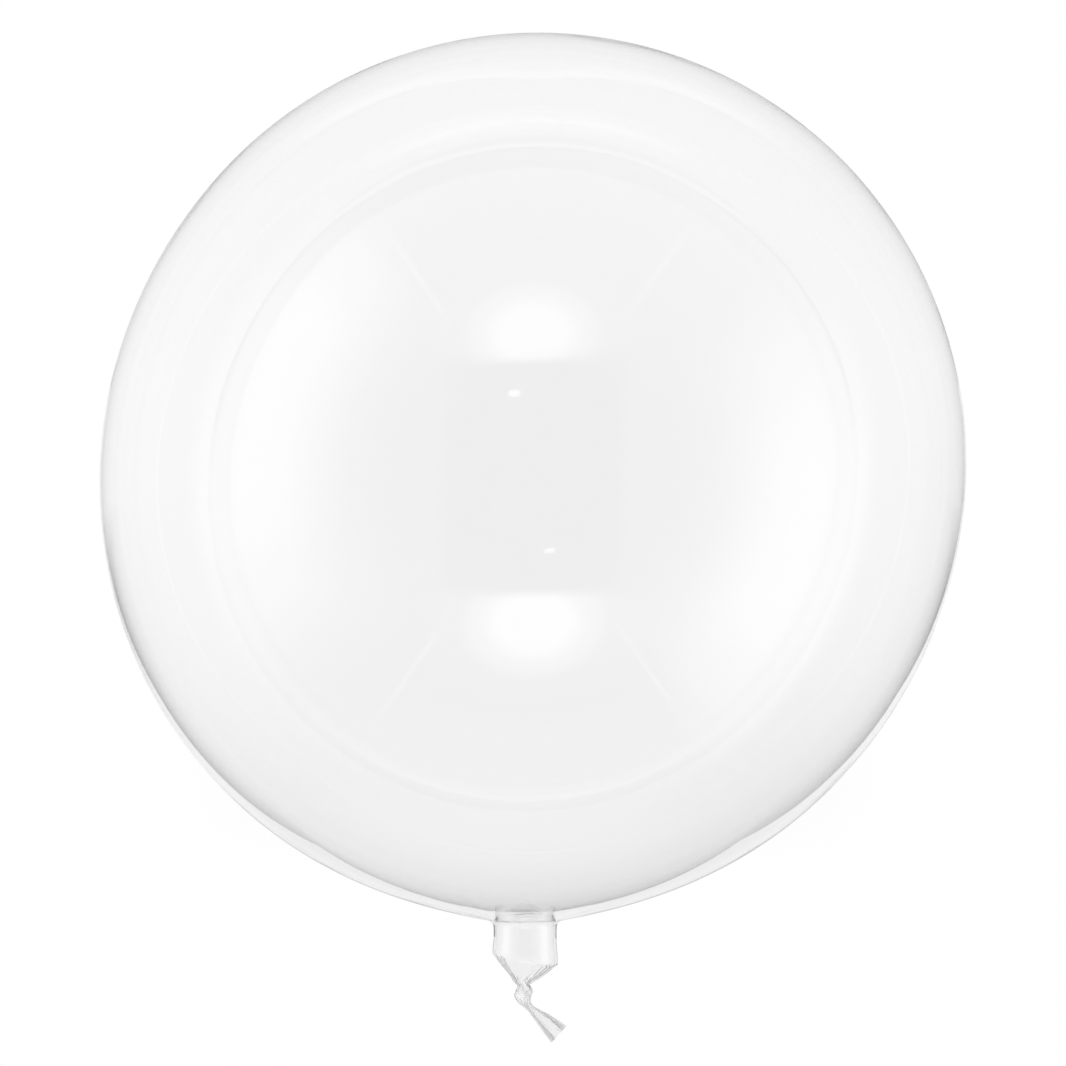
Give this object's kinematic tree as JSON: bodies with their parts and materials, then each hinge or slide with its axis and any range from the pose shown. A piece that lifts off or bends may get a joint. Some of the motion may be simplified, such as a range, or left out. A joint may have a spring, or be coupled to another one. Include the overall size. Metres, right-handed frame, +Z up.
{
  "type": "orb balloon",
  "caption": "Clear, sealed orb balloon of blown film, lying on a small flat spot, with a short tied neck and a twisted tail.",
  "frame": {"origin": "on the flat spot under the ball that the balloon lies on, below its centre of mass", "axes": "+Z up from the rest spot; +Y along the balloon towards its crown, so the neck and the tail point along -Y; +X to the right as seen from above with the crown at the top"},
  "size_m": [0.3994, 0.4658, 0.3957],
  "materials": {
    "clear_film": "clear, colourless stretched film with a wet gloss"
  },
  "bodies": {
    "root": {"balloon": "clear_film"}
  },
  "joints": []
}
